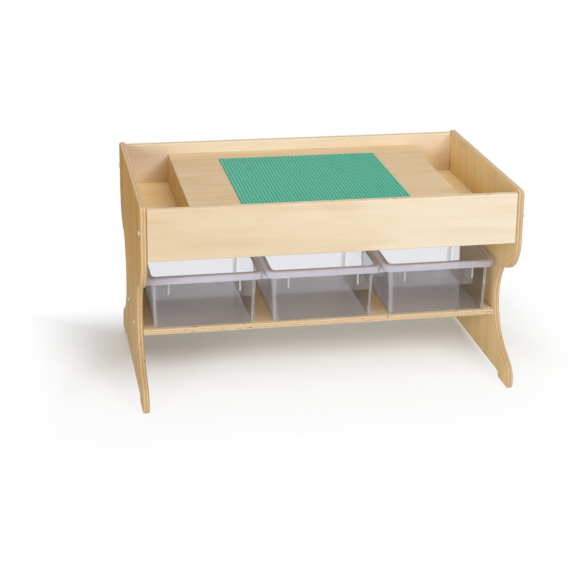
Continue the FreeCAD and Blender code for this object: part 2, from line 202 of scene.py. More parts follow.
class TubSettings(bpy.types.PropertyGroup):
    """Sizes and colours of the clear tubs."""
    wall: length("Wall", "Wall thickness", 2.0 * MM)
    floor: length("Floor", "Floor thickness", 2.5 * MM)
    draft: length("Draft", "How far the walls lean in towards the floor", 4.5 * MM)
    corner: length("Corner radius", "Radius of the body's upright corners", 14.0 * MM)
    floor_round: length("Floor round", "Radius between walls and floor", 6.0 * MM)
    overhang: length("Rim overhang", "How far the rim stands out from the body", 15.0 * MM)
    rim_corner: length("Rim corner", "Radius of the rim's corners", 24.0 * MM)
    skirt: length("Rim skirt", "Height of the skirt that turns down", 17.0 * MM)
    rim_wall: length("Rim wall", "Thickness of the rim", 2.2 * MM)
    roll: length("Rim roll", "Radius of the rim's rolled outer edge", 5.0 * MM)
    bead: length("Rim bead", "Depth of the ledge inside the rim's outer bead", 1.2 * MM)
    rib_spacing: length("Rib spacing", "Distance between the two ribs of a wall", 168.0 * MM)
    rib_width: length("Rib width", "Width of a rib", 4.0 * MM)
    rib_proud: length("Rib height", "How far a rib stands out", 1.2 * MM)
    rib_length: length("Rib length", "Length of a rib", 45.0 * MM)
    tint: colour("Tint", "Tint of the clear plastic", srgb(243, 243, 245))
    milky: colour("Milky tint", "Tint of the thick, milky parts", srgb(225, 222, 233))
    shade: colour("Shade", "Tint of the light that falls through one surface", srgb(236, 235, 237))
    straight: share("Straight light", "Share of the light that the first clear wall doesn't bend", 0.75)
    clear_wall: share("Clear walls", "Share of light that the walls let through", 0.93)
    clear_rim: share("Clear rim", "Share of light that the rim and the ribs let through", 0.55)
    corner_milk: share("Corner milk", "How milky the upright corners are beside the rim", 0.6)


class FastenerSettings(bpy.types.PropertyGroup):
    """Sizes and colours of the bolts, screws and inserts."""
    bolt_head: length("Bolt head", "Diameter of an apron bolt's head", 12.0 * MM)
    bolt_shank: length("Bolt shank", "Diameter of an apron bolt", 6.0 * MM)
    bolt_bevel: length("Bolt bevel", "Width of the bevel on a bolt's head", 1.2 * MM)
    socket_width: length("Socket", "Width across the flats of a bolt's hexagon socket", 4.0 * MM)
    socket_depth: length("Socket depth", "Depth of a bolt's socket", 1.8 * MM)
    screw_head: length("Screw head", "Diameter of a shelf screw's head", 9.0 * MM)
    screw_shank: length("Screw shank", "Diameter of a shelf screw", 5.0 * MM)
    screw_bevel: length("Screw bevel", "Width of the bevel on a screw's head", 0.8 * MM)
    cross_reach: length("Cross recess", "Reach of one arm of a screw's cross recess", 2.4 * MM)
    cross_arm: length("Cross arm", "Half width of one arm of the cross recess", 0.5 * MM)
    cross_depth: length("Cross depth", "Depth of the cross recess", 1.1 * MM)
    steel: colour("Steel", "Colour of the zinc plated steel", srgb(205, 206, 204))
    brass: colour("Brass", "Colour of the threaded inserts", srgb(214, 182, 110))


class StageSettings(bpy.types.PropertyGroup):
    """Camera, lamps and floor."""
    focus: FloatProperty(name="Focal length", description="Lens of the camera for a 36 mm sensor",
                         default=96.41, min=10.0, subtype="DISTANCE_CAMERA")
    camera_place: FloatVectorProperty(name="Camera", description="Where the camera stands", subtype="XYZ",
                                      unit="LENGTH", size=3, default=(-0.71056, -3.48142, 1.50950))
    yaw: camera_angle("Yaw", "Turn of the camera to the right", 0.20033)
    pitch: camera_angle("Pitch", "Tilt of the camera below the horizon", 0.30048)
    roll: camera_angle("Roll", "Roll of the camera", 0.01445)
    shift_x: FloatProperty(name="Shift X", description="Sideways shift of the lens", default=-0.0439)
    shift_y: FloatProperty(name="Shift Y", description="Upward shift of the lens", default=-0.1491)
    key: lamp_power("Key lamp", "Power of the lamp at the front right", 128.0)
    top: lamp_power("Top lamp", "Power of the lamp overhead", 36.0)
    fill: lamp_power("Fill lamp", "Power of the lamp at the front left", 80.0)
    ambient: share("Ambient", "Strength of the light from all round", 0.22)
    floor_lift: share("Floor lift", "Light added to the floor as the camera sees it", 0.14)
    floor: colour("Floor", "Colour of the floor", (0.92, 0.94, 0.95))


class TableSettings(bpy.types.PropertyGroup):
    """All settings of the play table."""
    wood: PointerProperty(type=WoodSettings)
    plate: PointerProperty(type=PlateSettings)
    tubs: PointerProperty(type=TubSettings)
    fasteners: PointerProperty(type=FastenerSettings)
    stage: PointerProperty(type=StageSettings)


class Tree:
    """Node tree with short calls for the nodes that the finishes share."""

    def __init__(self, tree):
        self.tree = tree
        tree.nodes.clear()

    def fill(self, socket, value):
        """Link a socket to an output, or give it a plain value."""
        if isinstance(value, bpy.types.NodeSocket):
            self.tree.links.new(value, socket)
        else:
            socket.default_value = value

    def node(self, kind, inputs=None, **settings):
        """New node with its settings, and its inputs by name or number."""
        node = self.tree.nodes.new(kind)
        for key, value in settings.items():
            setattr(node, key, value)
        for key, value in (inputs or {}).items():
            self.fill(node.inputs[key], value)
        return node

    def maths(self, operation, *values):
        """One sum on plain values or sockets."""
        node = self.node("ShaderNodeMath", dict(enumerate(values)), operation=operation)
        return node.outputs[0]

    def blend(self, first, first_weight, second, second_weight):
        """Sum of two values, each with its own weight."""
        return self.maths("MULTIPLY_ADD", first, first_weight, self.maths("MULTIPLY", second, second_weight))

    def ramp(self, value, low, high, start=0.0, end=1.0):
        """Smooth step from start to end while the value goes from low to high."""
        node = self.node("ShaderNodeMapRange", {"Value": value, "From Min": low, "From Max": high,
                                                "To Min": start, "To Max": end},
                         interpolation_type="SMOOTHSTEP")
        return node.outputs["Result"]


class Finish(Tree):
    """Material that reads the piece's own coordinates."""

    def __init__(self, name):
        self.material = bpy.data.materials.new(name)
        self.material.use_nodes = True
        super().__init__(self.material.node_tree)
        self.place = self.node("ShaderNodeTexCoord").outputs["Object"]

    def mix(self, part, first, second):
        """Colour between two colours."""
        node = self.node("ShaderNodeMix", {0: part, 6: first, 7: second}, data_type="RGBA")
        return node.outputs[2]

    def noise(self, fineness, detail, offset=(0.0, 0.0, 0.0), roughness=0.55, swirl=0.0):
        """Noise with so many features to the metre along each axis."""
        mapping = self.node("ShaderNodeMapping", {"Vector": self.place, "Location": offset,
                                                  "Scale": fineness})
        texture = self.node("ShaderNodeTexNoise", {"Vector": mapping.outputs[0], "Scale": 1.0,
                                                   "Detail": detail, "Roughness": roughness,
                                                   "Distortion": swirl})
        return texture.outputs["Fac"]

    def bump(self, height, distance, strength):
        """Normal for a surface that is uneven by the height."""
        node = self.node("ShaderNodeBump", {"Height": height, "Distance": distance, "Strength": strength})
        return node.outputs["Normal"]

    def end(self, shader):
        """Close the material with its shader."""
        self.node("ShaderNodeOutputMaterial", {"Surface": shader.outputs[0]})
        return self.material

    def principled(self, inputs):
        """Close the material with a principled shader of the given inputs."""
        return self.end(self.node("ShaderNodeBsdfPrincipled", inputs))


def opaque(value):
    """Colour with full alpha for a shader socket."""
    return tuple(value) + (1.0,)


def along(axis, fine, coarse):
    """Features to the metre: coarse along one axis and fine across it."""
    values = [fine, fine, fine]
    values[axis] = coarse
    return tuple(values)


def even(fine):
    """Features to the metre: as many along each axis."""
    return (fine, fine, fine)


def dress(node_name, material):
    """Give a CAD node its finish."""
    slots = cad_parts[node_name].data.materials
    slots.clear()
    slots.append(material)


def dress_boards(boards, wood):
    """Give each plywood board a finish of its own."""
    for node_name, board in boards.items():
        dress(node_name, plywood(node_name, board, wood))


def between(first, second, part):
    """Colour at a share of the way from one colour to another."""
    return tuple(a + part * (b - a) for a, b in zip(first, second))


def veneer(board, pale, warm, wood):
    """Tones at the two ends of a board's grain."""
    scale = between((1.0, 1.0, 1.0), wood.gold_and_bounce, board.gold_and_bounce)
    for warmth in (board.start_warmth, board.end_warmth):
        yield opaque(value * part for value, part in zip(between(pale, warm, warmth), scale))


def plywood(node_name, board, wood):
    """Lacquered birch plywood: veneer on the two faces, and plies wherever an edge cuts through them."""
    low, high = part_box(node_name)
    middle = (low + high) / 2
    offset = tuple(middle * PATTERN_SPREAD)
    thickness_axis = board.thickness_axis
    grain_axis = board.grain_axis
    finish = Finish("birch_plywood_" + node_name)
    parts = finish.node("ShaderNodeSeparateXYZ", {0: finish.place})

    def to_end(axis):
        """Distance from the nearer end of the board along an axis."""
        from_middle = finish.maths("ABSOLUTE", finish.maths("SUBTRACT", parts.outputs[axis], middle[axis]))
        return finish.maths("SUBTRACT", (high - low)[axis] / 2, from_middle)

    depth = to_end(thickness_axis)
    drift = finish.ramp(parts.outputs[grain_axis], low[grain_axis], high[grain_axis])

    # Face veneer: broad figure, streaks along the grain and fine fibres
    figure = finish.noise(along(grain_axis, 16.0, 3.0), 3.0, offset, swirl=1.4)
    streaks = finish.noise(along(grain_axis, 70.0, 2.6), 5.0, offset, 0.6, swirl=0.5)
    fibres = finish.noise(along(grain_axis, 900.0, 14.0), 2.0, offset)
    tone = finish.blend(figure, 0.7, streaks, 0.3)
    tone = finish.maths("MULTIPLY_ADD", finish.maths("SUBTRACT", fibres, 0.5), 0.15, tone)
    light = finish.mix(drift, *veneer(board, wood.pale_light, wood.warm_light, wood))
    dark = finish.mix(drift, *veneer(board, wood.pale_dark, wood.warm_dark, wood))
    face = finish.mix(finish.ramp(tone, 0.34, 0.80), light, dark)
    # Darken the veneer along the ends that meet other boards: a dark joint line and painted shade in the
    # crease
    for axis in board.seam_axes:
        joint = finish.ramp(to_end(axis), 0.0, wood.seam_shade_width, wood.seam_shade_strength, 0.0)
        face = finish.mix(joint, face, opaque(wood.seam))

    # Core plies: long and cross plies in turn, with glue lines between them and a few voids
    count = finish.maths("DIVIDE", finish.maths("SUBTRACT", depth, wood.veneer), wood.ply)
    in_ply = finish.maths("FRACT", count)
    crossed = finish.maths("LESS_THAN", finish.maths("FLOORED_MODULO", count, 2.0), 1.0)
    edge_grain = finish.noise(along(thickness_axis, 26.0, 1100.0), 4.0, offset, 0.65)
    ply_tone = finish.blend(crossed, 0.7, finish.maths("SUBTRACT", edge_grain, 0.4), 1.1)
    warmth = max(0.0, (board.start_warmth + board.end_warmth + board.gold_and_bounce) / 2)
    long_ply = between(wood.pale_edge, wood.warm_edge, warmth)
    cross_ply = tuple(wood.cross_ply * value for value in long_ply)
    core = finish.mix(finish.ramp(ply_tone, 0.0, 1.0), opaque(long_ply), opaque(cross_ply))
    to_line = finish.maths("MULTIPLY", finish.maths("MINIMUM", in_ply, finish.maths("SUBTRACT", 1.0, in_ply)),
                           wood.ply)
    core = finish.mix(finish.ramp(to_line, 0.0, wood.glue_line, 0.4, 0.0), core, opaque(cross_ply))
    gaps = finish.noise(along(thickness_axis, 70.0, 420.0), 1.0, offset)
    core = finish.mix(finish.ramp(gaps, 0.70, 0.74), core, opaque(wood.void))

    inside = finish.ramp(depth, 0.8 * wood.veneer, 1.2 * wood.veneer)
    roughness = finish.maths("MULTIPLY_ADD", streaks, 0.16,
                             finish.maths("MULTIPLY_ADD", inside, -0.34, 0.72))
    relief = finish.blend(fibres, 0.6, streaks, 0.4)
    return finish.principled({"Base Color": finish.mix(inside, face, core), "Roughness": roughness,
                              "Normal": finish.bump(relief, 0.06 * MM, 0.5), "Specular IOR Level": 0.15})


def softwood(node_name, length_axis, wood):
    """Planed softwood strip with growth rings along its length."""
    offset = tuple(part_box(node_name)[0] * STRIP_SPREAD)
    finish = Finish("softwood_" + node_name)
    rings = finish.noise(along(length_axis, 160.0, 1.6), 3.0, offset)
    fibres = finish.noise(along(length_axis, 900.0, 12.0), 2.0, offset)
    tone = finish.blend(rings, 0.8, fibres, 0.2)
    base = finish.mix(finish.ramp(tone, 0.4, 0.66), opaque(wood.strip), opaque(wood.strip_rings))
    return finish.principled({"Base Color": base, "Roughness": finish.ramp(fibres, 0.0, 1.0, 0.55, 0.75),
                              "Normal": finish.bump(fibres, 0.08 * MM, 0.6)})


def beech(wood):
    """Fluted beech dowel stock with short flecks."""
    finish = Finish("beech_dowel")
    flecks = finish.noise(along(X, 1500.0, 260.0), 2.0)
    dark = tuple(0.62 * value for value in wood.dowel)
    base = finish.mix(finish.ramp(flecks, 0.5, 0.72), opaque(wood.dowel), opaque(dark))
    return finish.principled({"Base Color": base, "Roughness": finish.ramp(flecks, 0.0, 1.0, 0.55, 0.7),
                              "Normal": finish.bump(flecks, 0.1 * MM, 0.5)})


def metal(name, base_colour, low_roughness, high_roughness):
    """Plated metal with a fine uneven polish."""
    finish = Finish(name)
    polish = finish.noise(even(700.0), 3.0)
    worn = tuple(0.8 * value for value in base_colour)
    base = finish.mix(finish.ramp(polish, 0.35, 0.7), opaque(base_colour), opaque(worn))
    return finish.principled({"Base Color": base, "Metallic": 1.0,
                              "Roughness": finish.ramp(polish, 0.2, 0.8, low_roughness, high_roughness),
                              "Normal": finish.bump(polish, 0.02 * MM, 0.4)})


def moulded_green(plate, base_top):
    """Moulded plastic of the building plate, with painted shade: darker down between the studs than on their
    tops.
    """
    finish = Finish("green_plate")
    level = finish.node("ShaderNodeSeparateXYZ", {0: finish.place}).outputs[Z]
    grain = finish.noise(even(1800.0), 2.0)
    # Painted shade: darker at the plate's face, full colour at the stud tops
    shaded_valley = tuple(plate.valley_shade * value for value in plate.colour)
    raised = finish.ramp(level, base_top, base_top + plate.stud_height)
    base = finish.mix(raised, opaque(shaded_valley), opaque(plate.colour))
    return finish.principled({"Base Color": base, "Roughness": finish.ramp(grain, 0.2, 0.8, 0.24, 0.34),
                              "Normal": finish.bump(grain, 0.02 * MM, 0.4), "Specular IOR Level": 0.35})


def clear_plastic(tubs):
    """Clear plastic, milky where the mesh says so in the rim, ribs and corners.

    Shadow rays and soft bounced light pass straight through, so that the lamps shine in. The first wall on a
    ray's way also bends and mirrors, and a clear wall behind it only tints.
    """
    finish = Finish("clear_tub")
    milk = finish.node("ShaderNodeAttribute", attribute_name="milk").outputs["Fac"]
    haze = finish.noise(even(30.0), 3.0)
    scuffs = finish.noise(along(Z, 160.0, 900.0), 3.0)
    clear = finish.ramp(milk, 0.0, 1.0, tubs.clear_wall, tubs.clear_rim)
    clear = finish.maths("SUBTRACT", clear, finish.ramp(haze, 0.4, 0.8, 0.0, 0.03))
    roughness = finish.maths("MULTIPLY_ADD", milk, 0.1, finish.ramp(scuffs, 0.3, 0.75, 0.01, 0.04))
    tint = finish.mix(milk, opaque(tubs.tint), opaque(tubs.milky))
    shader = finish.node("ShaderNodeBsdfPrincipled", {"Base Color": tint, "Transmission Weight": clear,
                                                      "IOR": 1.46, "Roughness": roughness})
    rays = finish.node("ShaderNodeLightPath").outputs
    shadow = rays["Is Shadow Ray"]
    passing = finish.mix(shadow, opaque(tubs.tint), opaque(tubs.shade))
    let_through = finish.node("ShaderNodeBsdfTransparent", {"Color": passing})
    unbent = finish.maths("MAXIMUM", shadow, rays["Is Diffuse Ray"])
    behind = finish.maths("GREATER_THAN", rays["Transparent Depth"], 0.5)
    most = finish.maths("MULTIPLY_ADD", behind, 1.0 - tubs.straight, tubs.straight)
    straight = finish.maths("MAXIMUM", unbent, finish.ramp(milk, 0.0, 1.0, most, 0.0))
    return finish.end(finish.node("ShaderNodeMixShader", {0: straight, 1: shader.outputs[0],
                                                          2: let_through.outputs[0]}))


def new_object(name, data):
    """Object for a mesh, a lamp or a camera, linked to the scene at the origin."""
    piece = bpy.data.objects.new(name, data)
    bpy.context.scene.collection.objects.link(piece)
    return piece


def ring_mesh(name, rings, sharp_angle=35.0, milk=None):
    """Closed mesh through rings of as many points each, with both ends capped and soft edges smoothed.

    The milk of clear plastic is a share from 0 to 1 for each point of each ring.
    """
    shape = bmesh.new()
    loops = [[shape.verts.new(point) for point in ring] for ring in rings]
    for first, second in zip(loops, loops[1:]):
        for index in range(len(first)):
            after = (index + 1) % len(first)
            shape.faces.new((first[index], first[after], second[after], second[index]))
    shape.faces.new(list(reversed(loops[0])))
    shape.faces.new(loops[-1])
    bmesh.ops.recalc_face_normals(shape, faces=shape.faces)
    mesh = bpy.data.meshes.new(name)
    shape.to_mesh(mesh)
    shape.free()
    mesh.shade_smooth()
    mesh.set_sharp_from_angle(angle=math.radians(sharp_angle))
    if milk:
        shares = mesh.attributes.new("milk", "FLOAT", "POINT")
        shares.data.foreach_set("value", [value for row in milk for value in row])
    return mesh


def round_ring(radius, level, count):
    """Circle of points at one level; the radius is a number or a function of the angle."""
    points = []
    for index in range(count):
        angle = math.tau * index / count
        reach = radius(angle) if callable(radius) else radius
        points.append((reach * math.cos(angle), reach * math.sin(angle), level))
    return points


def corner_ring(middle, half_width, half_depth, radius, level, steps=8):
    """Rounded rectangle of points at one level."""
    points = []
    for turn in range(4):
        side_x = 1 if turn in (0, 3) else -1
        side_y = 1 if turn in (0, 1) else -1
        centre_x = middle.x + side_x * (half_width - radius)
        centre_y = middle.y + side_y * (half_depth - radius)
        for step in range(steps + 1):
            angle = math.pi / 2 * (turn + step / steps)
            points.append((centre_x + radius * math.cos(angle), centre_y + radius * math.sin(angle), level))
    return points


class Build(Tree):
    """Geometry Nodes tree with named inputs, which is run once on a mesh."""

    def __init__(self, name):
        super().__init__(bpy.data.node_groups.new(name, "GeometryNodeTree"))
        self.identifiers = {}
        self.entry = self.node("NodeGroupInput")
        self.add_input("Geometry", "NodeSocketGeometry")
        self.tree.interface.new_socket(name="Geometry", in_out="OUTPUT", socket_type="NodeSocketGeometry")

    def add_input(self, name, kind):
        """Named input of the tree; returns its socket inside the tree."""
        item = self.tree.interface.new_socket(name=name, in_out="INPUT", socket_type=kind)
        self.identifiers[name] = item.identifier
        return self.entry.outputs[name]

    def end(self, geometry, material):
        """Close the tree: real meshes with one finish."""
        real = self.node("GeometryNodeRealizeInstances", {"Geometry": geometry})
        finished = self.node("GeometryNodeSetMaterial", {"Geometry": real.outputs[0], "Material": material})
        self.node("NodeGroupOutput", {0: finished.outputs[0]})

    def run(self, name, mesh, values):
        """New piece from the mesh: the tree runs on it once and its result becomes a plain mesh."""
        piece = new_object(name, mesh)
        modifier = piece.modifiers.new(self.tree.name, "NODES")
        modifier.node_group = self.tree
        for key, value in values.items():
            modifier[self.identifiers[key]] = value
        evaluated = piece.evaluated_get(bpy.context.evaluated_depsgraph_get())
        result = bpy.data.meshes.new_from_object(evaluated)
        piece.modifiers.clear()
        piece.data = result
        result.name = name
        bpy.data.meshes.remove(mesh)
        if not result.polygons:
            raise RuntimeError(name + " came out empty")
        return piece


def drop(helper):
    """Remove a helper object and its mesh."""
    mesh = helper.data
    bpy.data.objects.remove(helper)
    bpy.data.meshes.remove(mesh)


def stud_field():
    """Tree that sets a square field of studs on the plate."""
    build = Build("stud_field")
    stud = build.add_input("Stud", "NodeSocketObject")
    count = build.add_input("Count", "NodeSocketInt")
    pitch = build.add_input("Pitch", "NodeSocketFloat")
    place = build.add_input("Place", "NodeSocketVector")
    plastic = build.add_input("Plastic", "NodeSocketMaterial")
    side = build.maths("MULTIPLY", pitch, build.maths("SUBTRACT", count, 1.0))
    grid = build.node("GeometryNodeMeshGrid", {"Size X": side, "Size Y": side, "Vertices X": count,
                                               "Vertices Y": count})
    moved = build.node("GeometryNodeSetPosition", {"Geometry": grid.outputs["Mesh"], "Offset": place})
    shape = build.node("GeometryNodeObjectInfo", {"Object": stud})
    studs = build.node("GeometryNodeInstanceOnPoints", {"Points": moved.outputs[0],
                                                        "Instance": shape.outputs["Geometry"]})
    joined = build.node("GeometryNodeJoinGeometry", {0: build.entry.outputs["Geometry"]})
    build.fill(joined.inputs[0], studs.outputs[0])
    build.end(joined.outputs[0], plastic)
    return build


def wall_ribs():
    """Tree that sets two stiffening ribs on the front wall of a tub and two on its back wall."""
    build = Build("wall_ribs")
    rib = build.add_input("Rib", "NodeSocketObject")
    spacing = build.add_input("Spacing", "NodeSocketFloat")
    middle = build.add_input("Middle", "NodeSocketFloat")
    plastic = build.add_input("Plastic", "NodeSocketMaterial")
    shape = build.node("GeometryNodeObjectInfo", {"Object": rib})
    joined = build.node("GeometryNodeJoinGeometry", {0: build.entry.outputs["Geometry"]})
    for turn, side in ((0.0, -0.5), (math.pi, 0.5)):
        reach = build.maths("MULTIPLY", spacing, side)
        start = build.node("ShaderNodeCombineXYZ", {0: build.maths("ADD", middle, reach)})
        step = build.node("ShaderNodeCombineXYZ", {0: build.maths("MULTIPLY", reach, -2.0)})
        line = build.node("GeometryNodeMeshLine", {"Count": 2, "Start Location": start.outputs[0],
                                                   "Offset": step.outputs[0]})
        ribs = build.node("GeometryNodeInstanceOnPoints", {"Points": line.outputs[0],
                                                           "Instance": shape.outputs["Geometry"],
                                                           "Rotation": (0.0, 0.0, turn)})
        build.fill(joined.inputs[0], ribs.outputs[0])
    build.end(joined.outputs[0], plastic)
    return build


def head_field():
    """Tree that sets one fastener on each point, turned to the point's own direction."""
    build = Build("head_field")
    fastener = build.add_input("Fastener", "NodeSocketObject")
    steel = build.add_input("Steel", "NodeSocketMaterial")
    shape = build.node("GeometryNodeObjectInfo", {"Object": fastener})
    outward = build.node("GeometryNodeInputNamedAttribute", {"Name": "outward"}, data_type="FLOAT_VECTOR")
    turn = build.node("FunctionNodeAlignRotationToVector", {"Vector": outward.outputs["Attribute"]}, axis="Z")
    heads = build.node("GeometryNodeInstanceOnPoints", {"Points": build.entry.outputs["Geometry"],
                                                        "Instance": shape.outputs["Geometry"],
                                                        "Rotation": turn.outputs[0]})
    build.end(heads.outputs[0], steel)
    return build


def plate_base(plate, low, high):
    """Plate without its studs, with round corners and a bevelled top edge."""
    middle = (low + high) / 2
    half = (high - low) / 2
    bevel = plate.edge_bevel
    rings = [corner_ring(middle, half.x, half.y, plate.corner, low.z),
             corner_ring(middle, half.x, half.y, plate.corner, high.z - bevel),
             corner_ring(middle, half.x - bevel, half.y - bevel, plate.corner - bevel, high.z)]
    return ring_mesh("plate_base", rings)


def stud_mesh(plate):
    """One stud with a bevelled top, sunk a little into the plate."""
    radius = plate.stud_diameter / 2
    bevel = plate.stud_bevel
    sunk = -0.1 * MM
    count = 10
    rings = [round_ring(radius, sunk, count), round_ring(radius, plate.stud_height - bevel, count),
             round_ring(radius - bevel, plate.stud_height, count)]
    return ring_mesh("stud", rings, sharp_angle=50.0)


def arc_steps(count):
    """Angles of a quarter turn in even steps, ends included."""
    return [math.pi / 2 * step / count for step in range(count + 1)]


def tub_mesh(name, tubs, low, high):
    """Tub as one closed shell: up the outside, round the rim and down the inside."""
    middle = (low + high) / 2
    half = (high - low) / 2
    height = high.z - low.z
    steps = 8
    corner_milk = [tubs.corner_milk * math.sin(math.pi * step / steps) for step in range(steps + 1)]
    rings = []
    milk = []

    def body_ring(inset, level, radius, least_milk=0.0):
        """Ring of the leaning body, milky at its corners."""
        lean = inset + tubs.draft * (1 - level / height)
        rings.append(corner_ring(middle, half.x - tubs.overhang - lean, half.y - tubs.overhang - lean, radius,
                                 low.z + level, steps))
        milk.append([max(least_milk, value) for value in corner_milk] * 4)

    def rim_ring(inset, level):
        """Ring of the upright, milky rim."""
        rings.append(corner_ring(middle, half.x - inset, half.y - inset, tubs.rim_corner - inset,
                                 low.z + level, steps))
        milk.append([1.0] * len(rings[-1]))

    # Outside: floor, floor round and wall up to the flange
    for angle in arc_steps(5):
        tuck = tubs.floor_round * (1 - math.sin(angle))
        body_ring(tuck, tubs.floor_round * (1 - math.cos(angle)), tubs.corner - tuck)
    under = height - tubs.rim_wall
    flare = 0.6 * MM
    body_ring(0.0, 0.5 * under, tubs.corner)
    body_ring(0.0, under - flare, tubs.corner)
    body_ring(-flare, under, tubs.corner + flare)

    # Rim: flange, skirt, rolled edge, bead and ledge
    inner_roll = tubs.roll - tubs.rim_wall
    for angle in arc_steps(3):
        rim_ring(tubs.rim_wall + inner_roll * (1 - math.sin(angle)),
                 under - inner_roll * (1 - math.cos(angle)))
    skirt_end = height - tubs.skirt
    chamfer = 0.5 * MM
    rim_ring(tubs.rim_wall, skirt_end + chamfer)
    rim_ring(tubs.rim_wall - chamfer, skirt_end)
    rim_ring(chamfer, skirt_end)
    rim_ring(0.0, skirt_end + chamfer)
    for angle in arc_steps(5):
        rim_ring(tubs.roll * (1 - math.cos(angle)), height - tubs.roll * (1 - math.sin(angle)))
    ledge = height - tubs.bead
    bead_end = tubs.roll + 1.5 * MM
    slope = 0.7 * MM
    rim_ring(bead_end, height)
    rim_ring(bead_end + slope, height - 0.3 * tubs.bead)
    rim_ring(bead_end + 2 * slope, ledge)
    inner_corner = tubs.corner - tubs.wall
    ease = 0.9 * MM
    edge_milk = 0.8
    body_ring(tubs.wall - ease, ledge, inner_corner + ease, edge_milk)

    # Inside: wall down to the floor round and the floor
    body_ring(tubs.wall - ease / 3, ledge - 0.2 * MM, inner_corner + ease / 3)
    body_ring(tubs.wall, ledge - 0.8 * MM, inner_corner)
    body_ring(tubs.wall, 0.5 * under, inner_corner)
    inner_round = tubs.floor_round - tubs.wall
    for angle in reversed(arc_steps(5)):
        tuck = inner_round * (1 - math.sin(angle))
        body_ring(tubs.wall + tuck, tubs.floor + inner_round * (1 - math.cos(angle)), inner_corner - tuck)
    return ring_mesh(name, rings, sharp_angle=40.0, milk=milk)


def rib_mesh(tubs, low, high):
    """One rib for the front wall: its back lies in the wall, and it follows the wall's lean."""
    height = high.z - low.z
    top = height - tubs.rim_wall
    foot = top - tubs.rib_length
    wide = tubs.rib_width / 2
    edge = 0.25 * tubs.rib_width
    rings = []
    for level, proud in ((foot - tubs.rib_proud, 0.1 * MM), (foot, tubs.rib_proud), (top, tubs.rib_proud)):
        face = low.y + tubs.overhang + tubs.draft * (1 - level / height)
        buried = face + 0.3 * MM
        shoulder = face - 0.6 * proud
        crest = face - proud
        outline = ((-wide, buried), (wide, buried), (wide, shoulder), (wide - edge, crest),
                   (edge - wide, crest), (-wide, shoulder))
        rings.append([(across, depth, low.z + level) for across, depth in outline])
    return ring_mesh("rib", rings, milk=[[1.0] * len(ring) for ring in rings])


def hexagon(width):
    """Reach of a hexagon of that width across its flats, by angle."""
    return lambda angle: width / 2 / math.cos((angle + math.pi / 6) % (math.pi / 3) - math.pi / 6)


def cross(reach, arm):
    """Reach of a cross recess, by angle: long in the four arms and short between them."""
    arm_angle = 1.2 * arm / reach
    core = 1.6 * arm

    def radius(angle):
        """Reach at an angle, by how far it is off the nearest arm."""
        off = abs((angle + math.pi / 4) % (math.pi / 2) - math.pi / 4)
        return reach if off < arm_angle else core

    return radius


def fastener_mesh(name, head, shank, bevel, head_height, shank_length, recess, recess_depth):
    """Fastener with its head's underside at zero: bevelled head, driven recess and shank."""
    count = 48
    tip = 0.3 * shank
    point = 0.2 * shank
    ease = 0.35 * bevel
    rings = [round_ring(tip, -shank_length, count),
             round_ring(shank / 2, point - shank_length, count),
             round_ring(shank / 2, 0.0, count),
             round_ring(head / 2, 0.0, count),
             round_ring(head / 2, head_height - bevel, count),
             round_ring(head / 2 - ease, head_height - ease, count),
             round_ring(head / 2 - bevel, head_height, count),
             round_ring(recess, head_height, count),
             round_ring(recess, head_height - recess_depth, count)]
    return ring_mesh(name, rings)


def fastener_points(node_names):
    """Mesh of loose points where the named nodes' fasteners meet the side panels, each with its direction."""
    points = []
    directions = []
    for node_name in node_names:
        left = node_name.startswith("left")
        low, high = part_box(node_name)
        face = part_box("left_side_panel")[0].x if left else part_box("right_side_panel")[1].x
        reach = (high.z - low.z) / 2
        for depth in (low.y + reach, high.y - reach):
            points.append((face, depth, (low.z + high.z) / 2))
            directions.append((-1.0 if left else 1.0, 0.0, 0.0))
    mesh = bpy.data.meshes.new("fastener_points")
    mesh.from_pydata(points, [], [])
    outward = mesh.attributes.new("outward", "FLOAT_VECTOR", "POINT")
    outward.data.foreach_set("vector", [value for direction in directions for value in direction])
    return mesh


class TABLE_OT_side_panels(bpy.types.Operator):
    """Finish the two plywood side panels"""
    bl_idname = "play_table.side_panels"
    bl_label = "Side panels"

    def execute(self, context):
        dress_boards(SIDE_PANELS, context.scene.play_table.wood)
        return {"FINISHED"}


class TABLE_OT_aprons(bpy.types.Operator):
    """Finish the front and back aprons"""
    bl_idname = "play_table.aprons"
    bl_label = "Aprons"

    def execute(self, context):
        dress_boards(APRONS, context.scene.play_table.wood)
        return {"FINISHED"}


class TABLE_OT_tray(bpy.types.Operator):
    """Finish the deck, the tray bottom and the two dividers"""
    bl_idname = "play_table.tray"
    bl_label = "Tray"

    def execute(self, context):
        dress_boards(TRAY_BOARDS, context.scene.play_table.wood)
        return {"FINISHED"}


class TABLE_OT_shelf(bpy.types.Operator):
    """Finish the shelf under the tray"""
    bl_idname = "play_table.shelf"
    bl_label = "Shelf"

    def execute(self, context):
        dress_boards(SHELVES, context.scene.play_table.wood)
        return {"FINISHED"}


class TABLE_OT_strips(bpy.types.Operator):
    """Finish the cleats and the bearer under the tray"""
    bl_idname = "play_table.strips"
    bl_label = "Cleats and bearer"

    def execute(self, context):
        for node_name, length_axis in STRIPS.items():
            dress(node_name, softwood(node_name, length_axis, context.scene.play_table.wood))
        return {"FINISHED"}


class TABLE_OT_plate(bpy.types.Operator):
    """Make the studded building plate"""
    bl_idname = "play_table.plate"
    bl_label = "Building plate"

    def execute(self, context):
        plate = context.scene.play_table.plate
        low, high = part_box("building_plate")
        high.z -= plate.stud_height
        stud = new_object("stud_helper", stud_mesh(plate))
        values = {"Stud": stud, "Count": plate.studs, "Pitch": (high.x - low.x) / plate.studs,
                  "Place": ((low.x + high.x) / 2, (low.y + high.y) / 2, high.z),
                  "Plastic": moulded_green(plate, high.z)}
        piece = stud_field().run("studded_plate", plate_base(plate, low, high), values)
        drop(stud)
        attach(piece, "table")
        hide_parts("building_plate")
        return {"FINISHED"}


